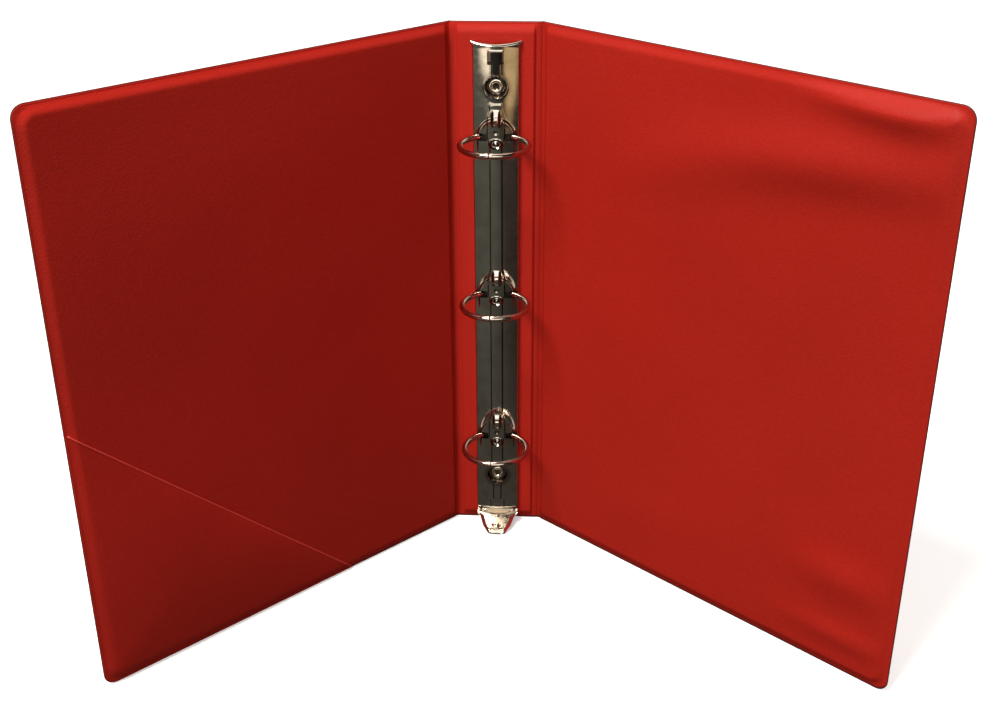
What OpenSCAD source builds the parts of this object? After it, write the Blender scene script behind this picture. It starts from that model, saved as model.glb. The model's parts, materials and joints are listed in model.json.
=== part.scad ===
// Half-letter three-ring binder: welded vinyl case over boards, booster-lever ring metal.
// +Z is up along the spine, the rings point along -Y, and the origin is the middle of the
// spine's bottom edge. Lengths are millimetres, angles are degrees.

/* [Case] */
// Height of the covers and the spine
case_h = 232; // [200:1:320]
// Width of each cover, from its hinge line to its free edge
cover_w = 181; // [150:1:260]
// Distance between the two hinge lines
spine_w = 38; // [36:0.5:60]
// Radius of the covers' outer corners
corner_r = 5; // [4.5:0.5:12]
// Thickness of one vinyl sheet
sheet_t = 0.4; // [0.3:0.05:0.6]
// Thickness of the boards
board_t = 2.2; // [1.8:0.1:3]
// Width of the welded margin round each board
weld_margin = 4.5; // [3.5:0.5:7]
// Half width of the spine's board
spine_board_half = 15.2; // [13:0.1:15.6]

/* [Rest pose] */
// How far the front cover is turned in from lying flat with the spine
front_angle = 45; // [0:1:80]
// How far the back cover is turned in from lying flat with the spine
back_angle = 40.5; // [0:0.5:80]

/* [Corner pocket] */
// Distance from the front hinge line to the pocket's lower corner
pocket_start = 62.6; // [50:0.2:90]
// Height of the pocket along the free edge
pocket_h = 113; // [80:1:130]

/* [Rings] */
// Distance between neighbouring rings
ring_pitch = 69.85; // [69.85, 79.375, 80, 107.95]
// Radius of a ring, to the middle of its wire
ring_r = 13.9; // [12.5:0.1:14]
// Diameter of the ring wire
wire_d = 2.4; // [2:0.1:2.8]
// Distance from the middle of the case to the middle of a ring
ring_depth = 16.2; // [15.5:0.1:17]
// How far the halves meet to the left of the middle
joint_offset = 1.4; // [0:0.1:2]

/* [Ring metal] */
// Length of the cover plate
plate_l = 218; // [180:1:222]
// Half width of the cover plate
plate_half = 9.4; // [9.2:0.05:9.6]
// Thickness of the cover plate's steel
plate_t = 0.7; // [0.5:0.05:0.75]
// Thickness of the blades
blade_t = 0.7; // [0.6:0.05:0.75]
// Distance between the two rivets
rivet_pitch = 181; // [150:1:190]
// Length of the booster lever beyond the cover plate
lever_l = 13.8; // [8:0.1:14]

/* [Hidden] */
$fn = 96;
e = 0.01;
hinge_x = spine_w / 2;
case_half = sheet_t + board_t / 2;
mid_z = case_h / 2;
plate_low = mid_z - plate_l / 2;
plate_high = mid_z + plate_l / 2;
ring_heights = [mid_z - ring_pitch, mid_z, mid_z + ring_pitch];
rivet_heights = [mid_z - rivet_pitch / 2, mid_z + rivet_pitch / 2];

// Live hinge: a welded strip of both sheets that turns about its own middle.
web_r = 0.45;
web_gap = 0.1;
board_start = 2.9;

// Blades: each turns on a bead along its outer edge, held by the plate's curled lip.
bead_x = 8.5;
bead_y = -2.3;
bead_r = blade_t / 2 + 0.03;
bead_fit = 0.05;
blade_rise = 0.35;
blade_low = plate_low + 2.6;
blade_high = plate_high - 2;
blade_inner = 0.15;
blade_w = bead_x - blade_inner;
blade_tilt = asin(blade_rise / blade_w);

// Cover plate section: foot of the flank, edge of the rib, crown of the rib.
spine_face = -case_half;
flank_y = -3.2;
rib_x = 3.2;
rib_foot_y = -5;
rib_top_x = 2.4;
rib_top_y = -6;
slot_in = 3.9;
slot_out = 8.8;
slot_h = 3.2;

// Rivets sit in round cups pressed down to the spine.
cup_r = 4.6;
cup_t = 0.7;
rivet_r = 1.5;
rivet_head_r = 4.2;
rivet_head_h = 0.9;
rivet_rim_r = 3.2;
rivet_bore_r = 0.9;

// Ring wire: it leaves the ring's circle at leg_angle and turns down into its blade.
leg_angle = 61.2;
leg_r = wire_d / 2 + 0.05;
leg_x = ring_r * cos(leg_angle);
leg_y = -ring_depth + ring_r * sin(leg_angle);
joint_angle = asin(joint_offset / ring_r);
joint_gap = 0.06;
nib_l = 1.1;
nib_base_r = 0.75;
nib_tip_r = 0.35;
socket_fit = 0.08;

// Booster lever: pivot, ears and tongue.
pivot_y = -2.9;
pivot_z = plate_low - 1.7;
pin_r = 0.55;
pin_fit = 0.05;
ear_r = 1.25;
ear_in = 7.4;
ear_out = 8.1;
cheek_in = 8.35;
cheek_out = 9.3;
lever_t = 0.9;
lever_slope = 20;
lever_start = 1.5;
tongue_half = 2.2;
tongue_l = 3.7;
web_half = 7.1;

// ---- helpers ----

// A slab between depths v0 and v1, from an outline drawn in width and height.
module slab(v0, v1) {
    translate([0, v1, 0])
        rotate([90, 0, 0])
            linear_extrude(v1 - v0)
                children();
}

// A panel with two rounded corners at its free edge, inset from the case's outline.
module panel_outline(start, inset, r) {
    free = cover_w - inset;
    square_h = case_h - 2 * inset;
    translate([start, inset])
        square([free - r - start, square_h]);
    translate([start, inset + r])
        square([free - start, square_h - 2 * r]);
    for (z = [inset + r, case_h - inset - r])
        translate([free - r, z])
            circle(r);
}

// The whole cover at flange level, and the raised part over its board.
module flange_outline() {
    panel_outline(web_r + web_gap, 0, corner_r);
}

module raised_outline(grow = 0) {
    panel_outline(board_start - sheet_t - grow, weld_margin - sheet_t - grow, 3 + sheet_t + grow);
}

module board_outline() {
    panel_outline(board_start, weld_margin, 3);
}

// Cover frames: width away from the hinge, depth towards the rings, height up.
module front_frame() {
    translate([-hinge_x, 0, 0])
        rotate([0, 0, 180 + front_angle])
            children();
}

module back_frame() {
    translate([hinge_x, 0, 0])
        rotate([0, 0, -back_angle])
            mirror([0, 1, 0])
                children();
}

// Half of the welded case of one cover: side = 1 is the inner sheet, -1 the outer.
module cover_sheet(side) {
    mirror([0, side < 0 ? 1 : 0, 0])
        difference() {
            union() {
                slab(0, sheet_t) flange_outline();
                slab(0, case_half) raised_outline();
            }
            slab(-1, board_t / 2) board_outline();
        }
}

module cover_board() {
    slab(-board_t / 2, board_t / 2) board_outline();
}

// The spine in front view, at flange level, raised level and board level.
module spine_outline(half, inset) {
    translate([-half, inset])
        square([2 * half, case_h - 2 * inset]);
}

module spine_sheet(side) {
    difference() {
        mirror([0, side > 0 ? 1 : 0, 0])
            difference() {
                union() {
                    slab(0, sheet_t) spine_outline(hinge_x - web_r, 0);
                    slab(0, case_half) spine_outline(spine_board_half + sheet_t, weld_margin - sheet_t);
                }
                slab(-1, board_t / 2) spine_outline(spine_board_half, weld_margin);
            }
        rivet_holes();
        for (x = [-hinge_x, hinge_x])
            translate([x, 0, -1])
                cylinder(h = case_h + 2, r = web_r);
    }
}

module rivet_holes() {
    for (z = rivet_heights)
        translate([0, 10, z])
            rotate([90, 0, 0])
                cylinder(h = 20, r = rivet_r);
}

module hinge_web(x) {
    translate([x, 0, 0])
        cylinder(h = case_h, r = web_r);
}

// ---- case ----

module front_board() {
    color("tan") front_frame() cover_board();
}

module back_board() {
    color("tan") back_frame() cover_board();
}

module spine_board() {
    color("tan")
        difference() {
            slab(-board_t / 2, board_t / 2) spine_outline(spine_board_half, weld_margin);
            rivet_holes();
        }
}

module front_outer_sheet() {
    color("firebrick") front_frame() cover_sheet(-1);
}

module back_outer_sheet() {
    color("firebrick") back_frame() cover_sheet(-1);
}

module spine_outer_sheet() {
    color("firebrick") spine_sheet(-1);
}

module front_inner_sheet() {
    color("crimson") front_frame() cover_sheet(1);
}

module back_inner_sheet() {
    color("crimson") back_frame() cover_sheet(1);
}

module spine_inner_sheet() {
    color("crimson") spine_sheet(1);
}

module front_hinge_web() {
    color("darkred") hinge_web(-hinge_x);
}

module back_hinge_web() {
    color("darkred") hinge_web(hinge_x);
}

// A triangle of vinyl laid over the inner sheet and welded along two sides.
module corner_pocket() {
    pocket_t = 0.3;
    color("crimson")
        front_frame()
            intersection() {
                difference() {
                    union() {
                        slab(sheet_t, sheet_t + pocket_t) flange_outline();
                        slab(sheet_t, case_half + pocket_t) raised_outline(pocket_t);
                    }
                    slab(0, case_half) raised_outline();
                }
                slab(0, 2 * case_half)
                    polygon([[pocket_start, 0], [cover_w, 0], [cover_w, pocket_h]]);
            }
}

// ---- ring metal ----

// Right half of the cover plate's section, from the crown out to the lip and back inside.
module plate_half_section() {
    difference() {
        polygon([
            [-e, rib_top_y], [rib_top_x, rib_top_y], [rib_x, rib_foot_y],
            [plate_half, flank_y], [plate_half, spine_face], [bead_x - 0.3, spine_face],
            [bead_x - 0.3, flank_y + 0.36], [rib_x + 0.25, rib_foot_y + plate_t],
            [rib_top_x + 0.25, rib_top_y + plate_t], [-e, rib_top_y + plate_t]
        ]);
        translate([bead_x, bead_y])
            circle(bead_r + bead_fit);
        translate([bead_x - 1, bead_y - 0.45])
            square([1, 0.9]);
    }
}

module both_sides() {
    children();
    mirror([1, 0, 0]) children();
}

// Slots where the ring wires go through the plate.
module wire_slots() {
    for (z = ring_heights)
        both_sides()
            translate([slot_in, -10, z - slot_h / 2])
                cube([slot_out - slot_in, 10 + bead_y - 0.1, slot_h]);
}

module rivet_cup(z) {
    translate([0, spine_face, z])
        rotate([90, 0, 0])
            cylinder(h = -rib_foot_y + spine_face, r = cup_r);
}

module rivet_cup_inside(z) {
    translate([0, spine_face - cup_t, z])
        rotate([90, 0, 0])
            cylinder(h = 10, r = cup_r - plate_t);
}

// Ear that carries one side of the booster lever's pin.
module lever_ear() {
    translate([ear_in, pivot_y, pivot_z])
        rotate([0, 90, 0])
            cylinder(h = ear_out - ear_in, r = ear_r);
    translate([ear_in, pivot_y - 0.8, pivot_z])
        cube([ear_out - ear_in, 0.8 + ear_r, plate_low + 1 - pivot_z]);
}

module cover_plate() {
    color("silver")
        difference() {
            union() {
                difference() {
                    translate([0, 0, plate_low])
                        linear_extrude(plate_l)
                            both_sides() plate_half_section();
                    wire_slots();
                }
                for (z = rivet_heights) rivet_cup(z);
                both_sides() lever_ear();
            }
            for (z = rivet_heights) rivet_cup_inside(z);
            rivet_holes();
            translate([-10, pivot_y, pivot_z])
                rotate([0, 90, 0])
                    cylinder(h = 20, r = pin_r + pin_fit);
        }
}

// Right blade: flat strip with a bead along its outer edge, cut round the rivet cups.
module blade() {
    cup_gap = 0.5;
    difference() {
        union() {
            translate([bead_x, bead_y, blade_low])
                cylinder(h = blade_high - blade_low, r = bead_r);
            translate([bead_x, bead_y, blade_low])
                rotate([0, 0, -blade_tilt])
                    translate([-blade_w, -blade_t / 2, 0])
                        cube([blade_w, blade_t, blade_high - blade_low]);
        }
        for (z = rivet_heights)
            translate([0, 0, z])
                rotate([90, 0, 0])
                    cylinder(h = 12, r = cup_r + cup_gap);
        for (z = ring_heights)
            translate([leg_x, 0, z])
                rotate([90, 0, 0])
                    cylinder(h = 12, r = leg_r);
    }
}

module right_blade() {
    color("silver") blade();
}

module left_blade() {
    color("silver") mirror([1, 0, 0]) blade();
}

// Arc of ring wire in the ring's own plane, from angle a0 to angle a1.
module wire_arc(a0, a1) {
    rotate([0, 0, a0])
        rotate_extrude(angle = a1 - a0)
            translate([ring_r, 0])
                circle(wire_d / 2);
}

// Right-hand wire end: a straight leg, slightly swaged, from the end of the arc into the blade.
module wire_leg() {
    top_y = leg_y - wire_d / 2 * sin(leg_angle) - 0.06;
    translate([leg_x, top_y, 0])
        rotate([-90, 0, 0])
            cylinder(h = bead_y + blade_t / 2 - top_y, r = leg_r);
}

module nib(grow) {
    rotate([0, 0, -joint_angle])
        translate([0, -ring_r, 0])
            rotate([0, 90, 0])
                translate([0, 0, -0.2])
                    cylinder(h = nib_l + 0.2, r1 = nib_base_r + grow, r2 = nib_tip_r + grow);
}

module ring_left(z) {
    gap_angle = asin(joint_gap / ring_r);
    translate([0, 0, z]) {
        translate([0, -ring_depth, 0]) {
            wire_arc(180 - leg_angle, 270 - joint_angle - gap_angle);
            nib(0);
        }
        mirror([1, 0, 0]) wire_leg();
    }
}

module ring_right(z) {
    translate([0, 0, z]) {
        translate([0, -ring_depth, 0])
            difference() {
                wire_arc(-90 - joint_angle, leg_angle);
                nib(socket_fit);
            }
        wire_leg();
    }
}

module lower_ring_left() {
    color("gainsboro") ring_left(ring_heights[0]);
}

module middle_ring_left() {
    color("gainsboro") ring_left(ring_heights[1]);
}

module upper_ring_left() {
    color("gainsboro") ring_left(ring_heights[2]);
}

module lower_ring_right() {
    color("gainsboro") ring_right(ring_heights[0]);
}

module middle_ring_right() {
    color("gainsboro") ring_right(ring_heights[1]);
}

module upper_ring_right() {
    color("gainsboro") ring_right(ring_heights[2]);
}

// Thumb blade's right half, drawn as width against distance from the pivot.
module lever_outline() {
    polygon([
        [0, lever_start], [cheek_out, lever_start], [cheek_out, lever_start + 0.7],
        [7.4, lever_start + 2.4], [6.4, lever_l - 3], [4.2, lever_l], [0, lever_l]
    ]);
}

module booster_lever() {
    color("silver")
        translate([0, pivot_y, pivot_z]) {
            // thumb blade, sloping down and out
            rotate([lever_slope, 0, 0])
                translate([0, 0, -lever_t / 2])
                    linear_extrude(lever_t)
                        both_sides() mirror([0, 1, 0]) lever_outline();
            // web between the plate's ears
            rotate([lever_slope, 0, 0])
                translate([-web_half, -lever_start - e, -lever_t / 2])
                    cube([2 * web_half, lever_start + 0.4, lever_t]);
            // tongue that reaches under the plate
            translate([-tongue_half, -0.4, -0.4])
                cube([2 * tongue_half, 0.8, tongue_l + 0.4]);
            // cheeks and pins on the pivot line
            both_sides() {
                translate([cheek_in, 0, 0])
                    rotate([0, 90, 0])
                        cylinder(h = cheek_out - cheek_in, r = ear_r);
                rotate([lever_slope, 0, 0])
                    translate([cheek_in, -lever_start - 0.3, -lever_t / 2])
                        cube([cheek_out - cheek_in, lever_start + 0.3, lever_t]);
                translate([ear_in - 0.2, 0, 0])
                    rotate([0, 90, 0])
                        cylinder(h = cheek_out - ear_in, r = pin_r);
            }
        }
}

// Tubular rivet: domed head behind the spine, rolled rim inside the plate's cup.
module rivet(z) {
    inner_y = spine_face - cup_t;
    translate([0, 0, z])
        rotate([90, 0, 0])
            rotate_extrude()
                polygon([
                    [rivet_bore_r, -case_half + 0.8], [rivet_bore_r, -inner_y + 0.7],
                    [rivet_rim_r - 0.5, -inner_y + 0.7], [rivet_rim_r, -inner_y],
                    [rivet_r, -inner_y], [rivet_r, -case_half], [rivet_head_r, -case_half],
                    [rivet_head_r - 0.5, -case_half - 0.5], [2, -case_half - rivet_head_h],
                    [0, -case_half - rivet_head_h], [0, -case_half + 0.8]
                ]);
}

module lower_rivet() {
    color("silver") rivet(rivet_heights[0]);
}

module upper_rivet() {
    color("silver") rivet(rivet_heights[1]);
}

front_board();
spine_board();
back_board();
front_outer_sheet();
spine_outer_sheet();
back_outer_sheet();
front_inner_sheet();
spine_inner_sheet();
back_inner_sheet();
front_hinge_web();
back_hinge_web();
corner_pocket();
cover_plate();
left_blade();
right_blade();
lower_ring_left();
middle_ring_left();
upper_ring_left();
lower_ring_right();
middle_ring_right();
upper_ring_right();
booster_lever();
lower_rivet();
upper_rivet();
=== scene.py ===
"""Half-letter ring binder, standing open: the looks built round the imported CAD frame.

Lengths in the tables below are millimetres, and mm() turns them into Blender's metres.
A cover is drawn flat, in its own coordinates: u away from its hinge line, v towards the
rings and z up. place() then bends it at the hinge to the angle that the CAD rests at.
"""
import json
import math

import bmesh
import bpy
import numpy as np
from mathutils import Matrix, Vector


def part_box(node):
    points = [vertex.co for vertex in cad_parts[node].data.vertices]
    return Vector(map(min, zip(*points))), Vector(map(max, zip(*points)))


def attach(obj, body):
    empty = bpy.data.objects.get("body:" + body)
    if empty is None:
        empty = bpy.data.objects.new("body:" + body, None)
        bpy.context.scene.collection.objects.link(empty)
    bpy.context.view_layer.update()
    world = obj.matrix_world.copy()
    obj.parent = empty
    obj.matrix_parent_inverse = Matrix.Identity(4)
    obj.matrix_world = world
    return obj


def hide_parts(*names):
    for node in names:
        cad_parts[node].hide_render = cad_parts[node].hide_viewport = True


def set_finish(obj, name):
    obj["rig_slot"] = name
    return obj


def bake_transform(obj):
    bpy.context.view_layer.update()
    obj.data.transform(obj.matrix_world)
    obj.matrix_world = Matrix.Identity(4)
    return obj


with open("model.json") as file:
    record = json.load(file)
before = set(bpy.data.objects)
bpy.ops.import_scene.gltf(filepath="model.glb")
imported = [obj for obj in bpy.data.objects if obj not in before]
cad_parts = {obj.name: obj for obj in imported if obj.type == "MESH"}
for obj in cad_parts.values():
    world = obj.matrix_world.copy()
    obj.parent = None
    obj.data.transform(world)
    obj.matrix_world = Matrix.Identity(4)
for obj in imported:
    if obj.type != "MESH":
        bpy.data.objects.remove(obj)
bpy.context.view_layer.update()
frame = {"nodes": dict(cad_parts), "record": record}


def mm(value):
    return value * 0.001


def smooth_step(x):
    """0 below 0, 1 above 1, and a smooth rise between them."""
    x = np.clip(x, 0, 1)
    return x * x * (3 - 2 * x)


def centre(node):
    """Middle of a CAD node's box, in millimetres."""
    low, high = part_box(node)
    return np.array((low + high) / 2) * 1000


def size(node):
    """Sides of a CAD node's box, in millimetres."""
    low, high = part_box(node)
    return np.array(high - low) * 1000


# -------------------- camera

CAMERA_PLACE = (28.45, -529.4, 346.7)
CAMERA_YAW = math.radians(2.95)
CAMERA_PITCH = math.radians(-26.13)
CAMERA_ROLL = math.radians(0.175)
CAMERA_LENS = 47.94
SENSOR_WIDTH = 36.0


def make_camera():
    data = bpy.data.cameras.new("camera")
    data.lens = CAMERA_LENS
    data.sensor_width = SENSOR_WIDTH
    data.clip_start = 0.01
    camera = bpy.data.objects.new("camera", data)
    turn = (
        Matrix.Rotation(CAMERA_YAW, 3, "Z")
        @ Matrix.Rotation(CAMERA_PITCH, 3, "X")
        @ Matrix.Rotation(CAMERA_ROLL, 3, "Y")
    )
    right = turn @ Vector((1, 0, 0))
    ahead = turn @ Vector((0, 1, 0))
    up = turn @ Vector((0, 0, 1))
    axes = Matrix((right, up, -ahead)).transposed().to_4x4()
    camera.matrix_world = Matrix.Translation([mm(c) for c in CAMERA_PLACE]) @ axes
    bpy.context.scene.collection.objects.link(camera)
    bpy.context.scene.camera = camera


# -------------------- case sizes

CASE_H = size("front_outer_sheet")[2]
HINGE_X = centre("back_hinge_web")[0]
CORNER_R = 5.0
# The slope over the board turns its corner more gently than the cut edge does.
BOARD_CORNER_R = 8.2
# Height of the surface above the middle of the case: on the welded margin, and over the board.
FLANGE_V = 0.4
BOARD_V = 1.5
SHEET_T = 0.38
SHEET_LEAST_T = 0.1
# The welded margin: a narrow flat flange, then a slope up over the board's edge.
FLANGE_W = 0.7
SLOPE_W = 3.9
# The cut edge is rounded over: (width, drop).
EDGE_ROUNDING = (0.5, 0.26)
# Pressed lines: (distance from the edge or the hinge line, half width, depth).
WELD_GROOVE = (0.95, 0.25, 0.04)
CREASE = (-0.3, 0.8, 0.34)
# Painted shade along the cut edge: its width and fade. Then the margin over the board's edge, which
# carries a painted highlight.
CUT_SHADE_W = 0.5
CUT_SHADE_FADE = 0.35
MARGIN_W = 4.4
# How strongly the painted highlight shows on each part's margin, and how much painted light lightens the
# whole spine sheet.
MARGIN_HIGHLIGHT = {"front": 1.0, "back": 0.12, "spine": 0.8}
SPINE_PAINTED_LIGHT = 0.36
# Slopes over the boards' long sides: (start, width) from the hinge line or the spine's middle.
HINGE_SLOPE = (1.2, 2.0)
SPINE_SLOPE = (14.9, 1.4)
# The spine's sheets end this far from its middle, and the covers' sheets begin there.
SPINE_EDGE = 16.6
# The sheets bend this far to either side of the hinge line.
BEND_HALF = 2.0


class Cover:
    """Where a cover lies at rest, read from the CAD: its hinge line, angle and width."""

    def __init__(self, side):
        self.side = side
        self.sign = -1 if side == "front" else 1
        self.hinge = centre(side + "_hinge_web")
        out = centre(side + "_board") - self.hinge
        self.angle = math.atan2(-out[1], abs(out[0]))
        # The outer sheet reaches furthest from the spine at its free edge's outer corner.
        low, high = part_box(side + "_outer_sheet")
        far_x = max(abs(low.x), abs(high.x)) * 1000 - HINGE_X
        self.width = (far_x - FLANGE_V * math.sin(self.angle)) / math.cos(self.angle)

    def place(self, u, v, z):
        """Points of the flat cover, bent over the hinge line to the rest angle."""
        turn = self.angle * smooth_step((u + BEND_HALF) / (2 * BEND_HALF))
        along = u * np.cos(turn) - v * np.sin(turn)
        ahead = -(u * np.sin(turn) + v * np.cos(turn))
        return np.stack([self.hinge[0] + self.sign * along, self.hinge[1] + ahead, z], -1)

    def reach(self, points):
        """How far out from the hinge line each point lies."""
        along = self.sign * (points[:, 0] - self.hinge[0])
        ahead = points[:, 1] - self.hinge[1]
        return along * math.cos(self.angle) - ahead * math.sin(self.angle)


FRONT = Cover("front")
BACK = Cover("back")


# -------------------- mesh helpers


def link(name, mesh, smooth=True):
    """Puts a mesh into the scene as a new piece."""
    piece = bpy.data.objects.new(name, mesh)
    bpy.context.scene.collection.objects.link(piece)
    if smooth:
        mesh.shade_smooth()
    return piece


def mesh_from(name, points, faces):
    """A mesh from millimetre points, with normals outwards and no doubled points."""
    mesh = bpy.data.meshes.new(name)
    mesh.from_pydata((np.asarray(points) * 0.001).tolist(), [], faces)
    work = bmesh.new()
    work.from_mesh(mesh)
    bmesh.ops.remove_doubles(work, verts=work.verts, dist=1e-6)
    bmesh.ops.recalc_face_normals(work, faces=work.faces)
    work.to_mesh(mesh)
    work.free()
    mesh.update()
    return mesh


def grid_faces(rows, columns, keep=None):
    """Quads of a rows x columns grid of points; keep(row, column) may leave some out."""
    faces = []
    for i in range(rows - 1):
        for j in range(columns - 1):
            if keep is None or keep(i, j):
                a = i * columns + j
                faces.append((a, a + 1, a + columns + 1, a + columns))
    return faces


def closed_sheet(name, top, under, keep=None):
    """A closed sheet between two grids of points, with walls wherever its surface ends."""
    rows, columns = top.shape[:2]
    count = rows * columns
    points = np.concatenate([top.reshape(-1, 3), under.reshape(-1, 3)])
    upper = grid_faces(rows, columns, keep)
    faces = list(upper)
    faces += [tuple(reversed([count + k for k in face])) for face in upper]
    # The rim is every edge that only one face has.
    rim = {}
    for face in upper:
        for k in range(4):
            edge = (face[k], face[(k + 1) % 4])
            if edge[::-1] in rim:
                del rim[edge[::-1]]
            else:
                rim[edge] = True
    faces += [(b, a, a + count, b + count) for a, b in rim]
    used = sorted({k for face in faces for k in face})
    renumber = {old: new for new, old in enumerate(used)}
    faces = [tuple(renumber[k] for k in face) for face in faces]
    return mesh_from(name, points[used], faces)


def spaced(*stops):
    """Numbers from the first stop to the last: (value, step up to the next value), ..., value."""
    *spans, last = stops
    ends = [value for value, step in spans[1:]] + [last]
    out = [spans[0][0]]
    for (low, step), high in zip(spans, ends):
        count = max(1, int(round((high - low) / step)))
        out += [low + (high - low) * (k + 1) / count for k in range(count)]
    return np.array(out)


def sharpen(piece, degrees):
    """Smooth shading, apart from edges sharper than this."""
    piece.data.set_sharp_from_angle(angle=math.radians(degrees))


def vertex_points(piece):
    """The piece's points in millimetres."""
    return np.array([v.co for v in piece.data.vertices]) * 1000


def mark(piece, name, values):
    """Stores a number for each point, which a material can read."""
    attribute = piece.data.attributes.new(name, "FLOAT", "POINT")
    attribute.data.foreach_set("value", np.asarray(values, dtype=np.float32))


def loop_faces(loops, sides):
    """Faces of a tube given as loops of points, with a cap at each end."""
    faces = []
    for k in range(loops - 1):
        for j in range(sides):
            a, b = k * sides + j, k * sides + (j + 1) % sides
            faces.append((a, b, b + sides, a + sides))
    faces.append(tuple(range(sides)))
    faces.append(tuple((loops - 1) * sides + j for j in range(sides)))
    return faces


def loop_turns(sides):
    """Angles of the points of one loop."""
    return np.linspace(0, 2 * math.pi, sides, endpoint=False)


# -------------------- vinyl case


def round_corners(u, z, width):
    """Moves points of a rectangular grid so that the two free corners become quarter discs."""
    a = np.clip((u - (width - CORNER_R)) / CORNER_R, 0, 1)
    near_low = z < CASE_H / 2
    b = np.where(near_low, CORNER_R - z, z - (CASE_H - CORNER_R)) / CORNER_R
    b = np.clip(b, 0, 1)
    corner = (a > 0) & (b > 0)
    a_round = a * np.sqrt(1 - b * b / 2)
    b_round = b * np.sqrt(1 - a * a / 2)
    u = np.where(corner, width - CORNER_R + CORNER_R * a_round, u)
    lower = CORNER_R - CORNER_R * b_round
    z = np.where(corner, np.where(near_low, lower, CASE_H - lower), z)
    return u, z


def edge_distance(u, z, width, radius=CORNER_R):
    """Distance from the cover's free outline, with its two rounded corners."""
    from_side = width - u
    from_end = np.minimum(z, CASE_H - z)
    in_corner = (from_side < radius) & (from_end < radius)
    rounded = radius - np.hypot(radius - from_side, radius - from_end)
    return np.where(in_corner, rounded, np.minimum(from_side, from_end))


def groove(distance, centre_at, half, depth):
    """A pressed line: depth at its middle, fading to nothing at half a width either side."""
    return depth * smooth_step(1 - np.abs(distance - centre_at) / half)


def flange_height(distance):
    """Height of the welded margin, rounded over at the cut edge, with its weld line."""
    width, drop = EDGE_ROUNDING
    rounding = drop * smooth_step(1 - distance / width)
    return FLANGE_V - rounding - groove(distance, *WELD_GROOVE)


def case_height(distance, board_distance, hinge_rise):
    """Height of the sheet's surface above the middle of the case."""
    flange = flange_height(distance)
    rise = smooth_step((board_distance - FLANGE_W) / SLOPE_W) * hinge_rise
    return flange + (BOARD_V - flange) * rise


def cover_height(cover, u, z):
    """Height of a cover's sheet where it lies tight over the board."""
    distance = edge_distance(u, z, cover.width)
    board_distance = edge_distance(u, z, cover.width, BOARD_CORNER_R)
    rise = smooth_step((u - HINGE_SLOPE[0]) / HINGE_SLOPE[1])
    return case_height(distance, board_distance, rise) - groove(u, *CREASE)


def waves(u, z, bumps):
    """Soft bulges of loose vinyl: (u, z, half length, half width, tilt in degrees, height)."""
    total = np.zeros_like(u)
    for at_u, at_z, length, width, tilt, height in bumps:
        c, s = math.cos(math.radians(tilt)), math.sin(math.radians(tilt))
        along = ((u - at_u) * c + (z - at_z) * s) / length
        across = (-(u - at_u) * s + (z - at_z) * c) / width
        total += height * np.exp(-(along**2 + across**2) / 2)
    return total


LOOSE_BUMPS = {
    "front": [
        (90, 120, 50, 80, 0, 0.15),
        (60, 50, 40, 22, 30, 0.2),
        (140, 190, 40, 14, -10, 0.2),
    ],
    "back": [
        (141, 229.3, 13, 6.2, -7, 2.7),
        (163, 227.8, 11, 6.2, 3, 3.2),
        (134, 203, 32, 7.6, 5, 3.0),
        (76, 190, 26, 9, 12, 1.3),
        (60, 120, 30, 70, 4, 0.35),
        (120, 110, 34, 60, -6, 0.35),
        (157, 42, 13, 6.5, 0, 1.6),
        (158, 16, 15, 3.4, 0, 1.0),
        (60, 30, 30, 9, 8, 0.5),
    ],
}
LOOSE_MARGIN = 7.5
# The rings lie against the covers this far out when everything is shut, so the sheet is flat there.
RING_REACH = 28
RING_FADE = 24


def looseness(cover, u, z):
    """1 in the middle of the sheet, and 0 where it is welded down or near the rings."""
    distance = edge_distance(u, z, cover.width)
    free = smooth_step((distance - FLANGE_W) / LOOSE_MARGIN)
    return free * smooth_step((u - RING_REACH) / RING_FADE)


def inner_height(cover, u, z):
    """Height of a cover's inner sheet, with its loose waves."""
    loose = waves(u, z, LOOSE_BUMPS[cover.side]) * looseness(cover, u, z)
    return cover_height(cover, u, z) + loose


def mark_margin(piece, overall_painted_light, highlight_strength, outline_distance):
    """Marks painted shade along the cut edge and a painted highlight on the welded margin, strong only at
    the top; painted light of the given amount lightens the whole piece.
    """
    points = vertex_points(piece)
    distance = outline_distance(points, CORNER_R)
    board_distance = outline_distance(points, BOARD_CORNER_R)
    z = points[:, 2]
    lower = smooth_step((4 - z) / 2)
    upper = smooth_step((z - CASE_H + 9) / 6)
    # Painted shade along the cut edge, up to two and a half times as wide along the bottom.
    cut_shade_width = CUT_SHADE_W * (1 + 1.5 * lower)
    mark(piece, "cut_edge_shade", smooth_step((cut_shade_width - distance) / CUT_SHADE_FADE))
    # Painted highlight on the margin: faint all round and strong along the top, where the light falls;
    # never less than the piece's overall painted light.
    width = MARGIN_W - 1.2 * upper
    fade = 0.7 + 4 * upper
    band = smooth_step((width + fade / 2 - board_distance) / fade)
    top_highlight = 0.15 + 0.85 * upper
    mark(piece, "margin", np.maximum(highlight_strength * band * top_highlight, overall_painted_light))


def case_rows(step):
    """The z stops of a case sheet: close together at its two ends, step apart between."""
    return spaced((0, 0.14), (1.4, 0.5), (7, step), (CASE_H - 7, 0.5), (CASE_H - 1.4, 0.14), CASE_H)


def cover_grid(cover, step):
    """Points (u, z) of a cover's sheet: close together at its edges, step apart inside."""
    us = spaced((-(HINGE_X - SPINE_EDGE), 0.18), (3.6, 0.6), (6.0, step),
                (cover.width - 7, 0.5), (cover.width - 1.4, 0.14), cover.width)
    u, z = np.meshgrid(us, case_rows(step), indexing="ij")
    return round_corners(u, z, cover.width)


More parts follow.
